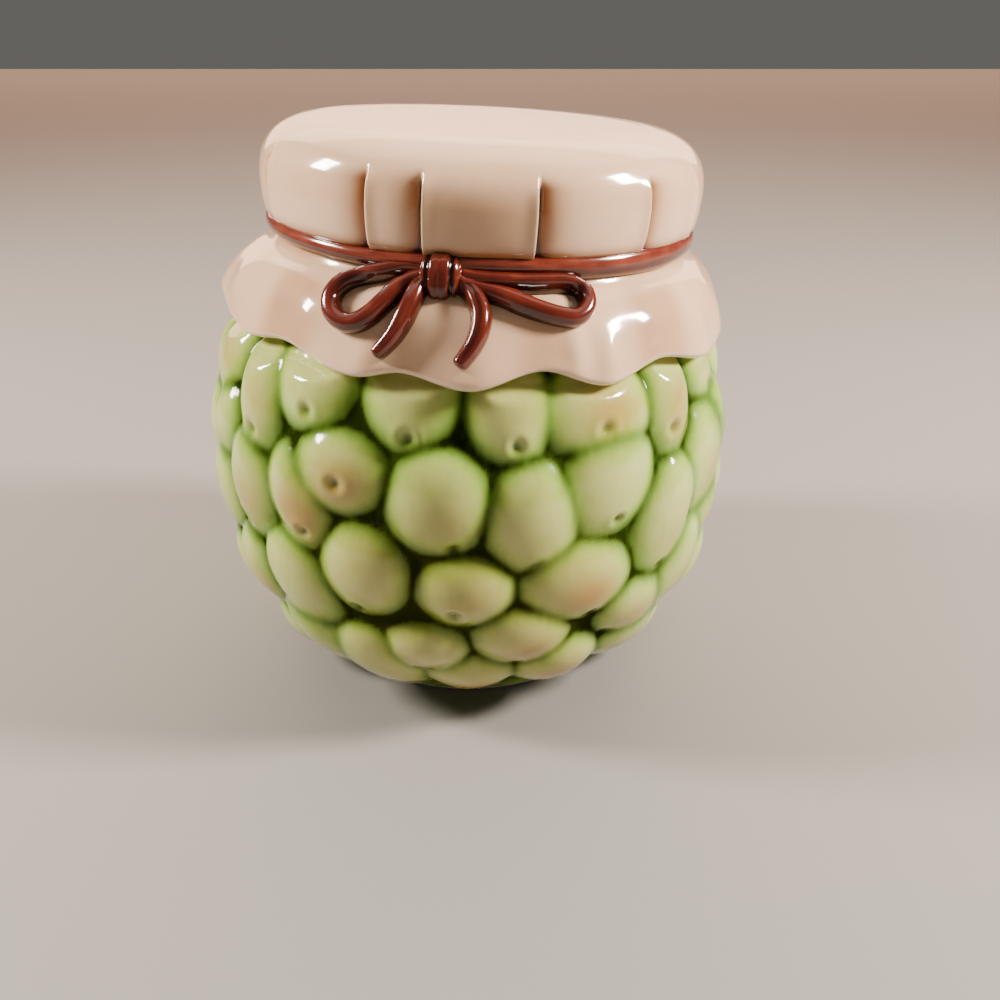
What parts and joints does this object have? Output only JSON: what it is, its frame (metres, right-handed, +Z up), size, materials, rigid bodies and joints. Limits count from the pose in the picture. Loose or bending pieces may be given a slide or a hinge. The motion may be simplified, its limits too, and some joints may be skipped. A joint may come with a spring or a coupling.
{
  "type": "lidded jar",
  "caption": "Rounded ceramic jar cast as a bunch of grapes, with a lift-off lid shaped like a cloth cover tied with a cord and bow.",
  "frame": {"origin": "centre of the foot ring, on the surface the jar stands on", "axes": "+Z up, -Y to the front with the bow, +X to the right seen from the front"},
  "size_m": [0.2093, 0.21, 0.217],
  "materials": {
    "green_glaze": "glossy",
    "cream_glaze": "glossy",
    "brown_glaze": "glossy"
  },
  "bodies": {
    "jar": {"jar_body": "green_glaze"},
    "lid": {"lid_cover": "cream_glaze", "ribbon_band": "brown_glaze", "bow_knot": "brown_glaze", "bow_loop_left": "brown_glaze", "bow_loop_right": "brown_glaze", "bow_tail_left": "brown_glaze", "bow_tail_right": "brown_glaze"}
  },
  "joints": [
    {"name": "lid_lift", "type": "slide", "parent": "jar", "child": "lid", "axis": [0.0471, 0, 0.9989], "range_m": [0, 0.12]}
  ]
}
